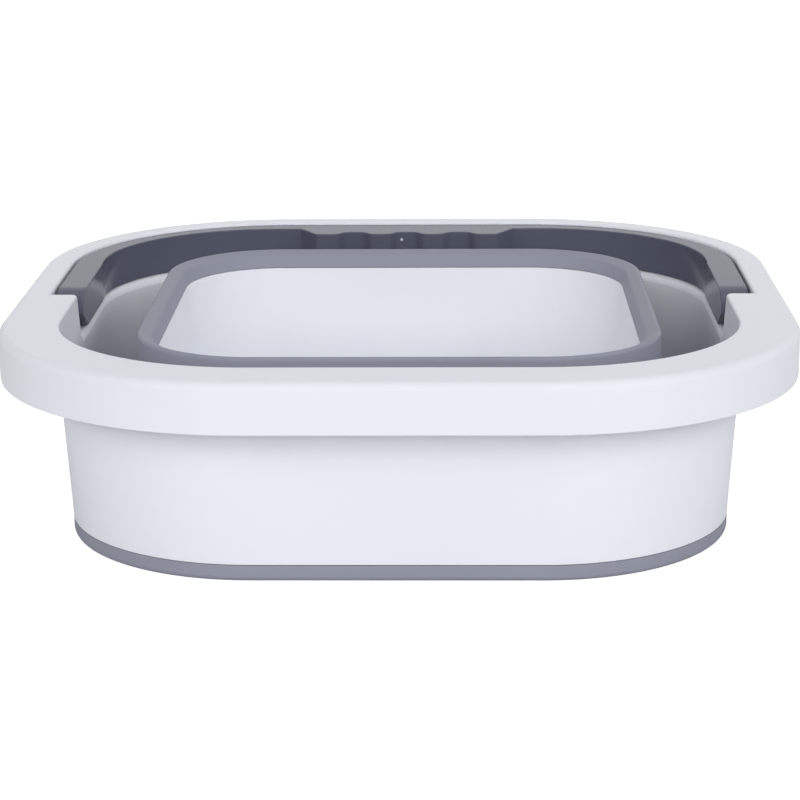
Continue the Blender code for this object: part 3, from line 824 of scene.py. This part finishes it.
def make_sleeve():
    """The soft wall, folded inside out, with thin hinges at both ends of a thicker panel.

    Its line eases in and out at the ends, so that it unrolls to a straight wall.
    """
    low_half = BAND_INNER - TOUCH_GAP - HINGE_THICKNESS / 2
    low_z = BAND_SKIN + HINGE_THICKNESS / 2
    high_half = CREST_OUTER - HINGE_THICKNESS / 2
    high_z = CREST_HEM_Z + TOUCH_GAP
    outer_side = []
    inner_side = []
    for station in range(SLEEVE_STEPS + 1):
        share = station / SLEEVE_STEPS
        ease = share * share * (3 - 2 * share)
        half = low_half + (high_half - low_half) * ease
        height = low_z + (high_z - low_z) * share
        slope = (high_half - low_half) * 6 * share * (1 - share) / (high_z - low_z)
        across = Vector((1, -slope)).normalized()
        inside = min(1, PANEL_RISE * min(share, 1 - share))
        swell = inside * inside * (3 - 2 * inside)
        reach = (HINGE_THICKNESS + (PANEL_THICKNESS - HINGE_THICKNESS) * swell) / 2
        outer_side.append((half + across.x * reach, height + across.y * reach))
        inner_side.append((half - across.x * reach, height - across.y * reach))
    piece = settle(make_ring("fold_wall", outer_side + inner_side[::-1]))
    # The shading goes into the mesh, so that the blend finds no modifier.
    graph = bpy.context.evaluated_depsgraph_get()
    piece.data = bpy.data.meshes.new_from_object(piece.evaluated_get(graph))
    piece.modifiers.clear()
    dress(piece, GREY_ELASTOMER, None, "folding_sleeve")
    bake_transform(piece)


# Studio.

VIEW_DISTANCE = 1.055786
VIEW_PITCH = math.radians(14.968)
VIEW_YAW = math.radians(-1.2294)
VIEW_ROLL = math.radians(0.38327)
VIEW_TARGET = (-0.000938, 0, 0.036128)
VIEW_LENS = 110.742
SENSOR_WIDTH = 36

SKY_COLOUR = (0.97, 0.98, 1, 1)
PAGE_WHITE = (1, 1, 1, 1)
RING_RISE = (0.2, 0.32)
RING_FALL = (0.5, 0.64)
RING_SIDES = (1.25, 1.8)
RING_FRONT = 1.8
RING_BACK = 0.5

FLOOR_HALF = 6
FLOOR_COLOUR = (0.85, 0.85, 0.86, 1)
FLOOR_ROUGHNESS = 0.8
FLOOR_LIFT = 0.75


def make_camera():
    """The photograph's view: a long lens from the front, a little above the rim."""
    turn = Matrix.Rotation(-VIEW_YAW, 3, "Z")
    forward = turn @ Vector((0, math.cos(VIEW_PITCH), -math.sin(VIEW_PITCH)))
    right = turn @ Vector((1, 0, 0))
    up = turn @ Vector((0, math.sin(VIEW_PITCH), math.cos(VIEW_PITCH)))
    rolled_right = right * math.cos(VIEW_ROLL) - up * math.sin(VIEW_ROLL)
    rolled_up = right * math.sin(VIEW_ROLL) + up * math.cos(VIEW_ROLL)
    lens = bpy.data.cameras.new("camera")
    lens.lens = VIEW_LENS
    lens.sensor_width = SENSOR_WIDTH
    camera = bpy.data.objects.new("camera", lens)
    place = turn @ Vector(VIEW_TARGET) - forward * VIEW_DISTANCE
    axes = Matrix((rolled_right, rolled_up, -forward)).transposed()
    camera.matrix_world = Matrix.Translation(place) @ axes.to_4x4()
    bpy.context.scene.collection.objects.link(camera)
    bpy.context.scene.camera = camera


def add_light(name, place, target, size, power, colour):
    """A soft lamp of this size, turned towards the target."""
    data = bpy.data.lights.new(name, "AREA")
    data.shape = "RECTANGLE"
    data.size, data.size_y = size
    data.energy = power
    data.color = colour
    light = bpy.data.objects.new(name, data)
    light.location = place
    light.rotation_euler = (Vector(target) - Vector(place)).to_track_quat("-Z", "Y").to_euler()
    bpy.context.scene.collection.objects.link(light)


def add_math(nodes, links, operation, first, second):
    """One number from two."""
    made = nodes.new("ShaderNodeMath")
    made.operation = operation
    links.new(first, made.inputs[0])
    links.new(second, made.inputs[1])
    return made.outputs[0]


def add_sky_ring(nodes, links):
    """The sky's strength: a bright ring above the horizon, strongest in front, as in a light tent."""
    way = nodes.new("ShaderNodeTexCoord")
    parts = nodes.new("ShaderNodeSeparateXYZ")
    links.new(way.outputs["Generated"], parts.inputs[0])
    rise = add_span(nodes, links, parts.outputs["Z"], RING_RISE, (0, 1))
    fall = add_span(nodes, links, parts.outputs["Z"], RING_FALL, (1, 0))
    sides = add_span(nodes, links, parts.outputs["X"], (-1, 1), RING_SIDES)
    front = add_span(nodes, links, parts.outputs["Y"], (-1, 0), (RING_FRONT, 0))
    back = add_span(nodes, links, parts.outputs["Y"], (0, 1), (0, RING_BACK))
    ring = add_math(nodes, links, "MULTIPLY", rise, fall)
    ends = add_math(nodes, links, "ADD", front, back)
    round_about = add_math(nodes, links, "ADD", sides, ends)
    return add_math(nodes, links, "MULTIPLY", ring, round_about)


def make_world():
    """The sky lights the bucket; the camera and the reflections see plain white in its place."""
    world = bpy.data.worlds.new("studio")
    bpy.context.scene.world = world
    world.use_nodes = True
    nodes, links = world.node_tree.nodes, world.node_tree.links
    ambient = nodes["Background"]
    ambient.inputs["Color"].default_value = SKY_COLOUR
    links.new(add_sky_ring(nodes, links), ambient.inputs["Strength"])
    white = nodes.new("ShaderNodeBackground")
    white.inputs["Color"].default_value = PAGE_WHITE
    white.inputs["Strength"].default_value = 1.0
    path = nodes.new("ShaderNodeLightPath")
    seen = path.outputs["Is Camera Ray"]
    for other in ("Is Glossy Ray", "Is Transmission Ray"):
        seen = add_math(nodes, links, "MAXIMUM", seen, path.outputs[other])
    mix = nodes.new("ShaderNodeMixShader")
    links.new(seen, mix.inputs["Fac"])
    links.new(ambient.outputs["Background"], mix.inputs[1])
    links.new(white.outputs["Background"], mix.inputs[2])
    links.new(mix.outputs["Shader"], nodes["World Output"].inputs["Surface"])


def make_floor():
    """A pale floor that takes the shadow, lifted to white where the camera sees it lit."""
    mesh = bmesh.new()
    bmesh.ops.create_grid(mesh, x_segments=1, y_segments=1, size=FLOOR_HALF)
    floor = make_object("floor", mesh)
    material, nodes, links, shader = new_material("pale_floor")
    shader.inputs["Base Color"].default_value = FLOOR_COLOUR
    shader.inputs["Roughness"].default_value = FLOOR_ROUGHNESS
    glow = nodes.new("ShaderNodeEmission")
    glow.inputs["Color"].default_value = PAGE_WHITE
    path = nodes.new("ShaderNodeLightPath")
    level = nodes.new("ShaderNodeMath")
    level.operation = "MULTIPLY"
    level.inputs[1].default_value = FLOOR_LIFT
    links.new(path.outputs["Is Camera Ray"], level.inputs[0])
    links.new(level.outputs[0], glow.inputs["Strength"])
    both = nodes.new("ShaderNodeAddShader")
    links.new(shader.outputs["BSDF"], both.inputs[0])
    links.new(glow.outputs["Emission"], both.inputs[1])
    links.new(both.outputs["Shader"], nodes["Material Output"].inputs["Surface"])
    floor.data.materials.append(material)


make_frame()
make_foot_band()
make_handle()
make_gate_mark()
make_tub()
make_crest()
make_sleeve()

make_camera()
make_world()
make_floor()
add_light(
    "front_softbox",
    place=(0, -2.4, 0.66),
    target=(0, 0, 0.05),
    size=(0.6, 0.4),
    power=11.2,
    colour=(1, 0.99, 0.955),
)
add_light(
    "top_softbox",
    place=(0.3, 0.1, 1.9),
    target=(0, 0, 0),
    size=(1.4, 1.4),
    power=9,
    colour=(0.965, 0.985, 1),
)

bpy.context.scene.view_settings.view_transform = "Standard"
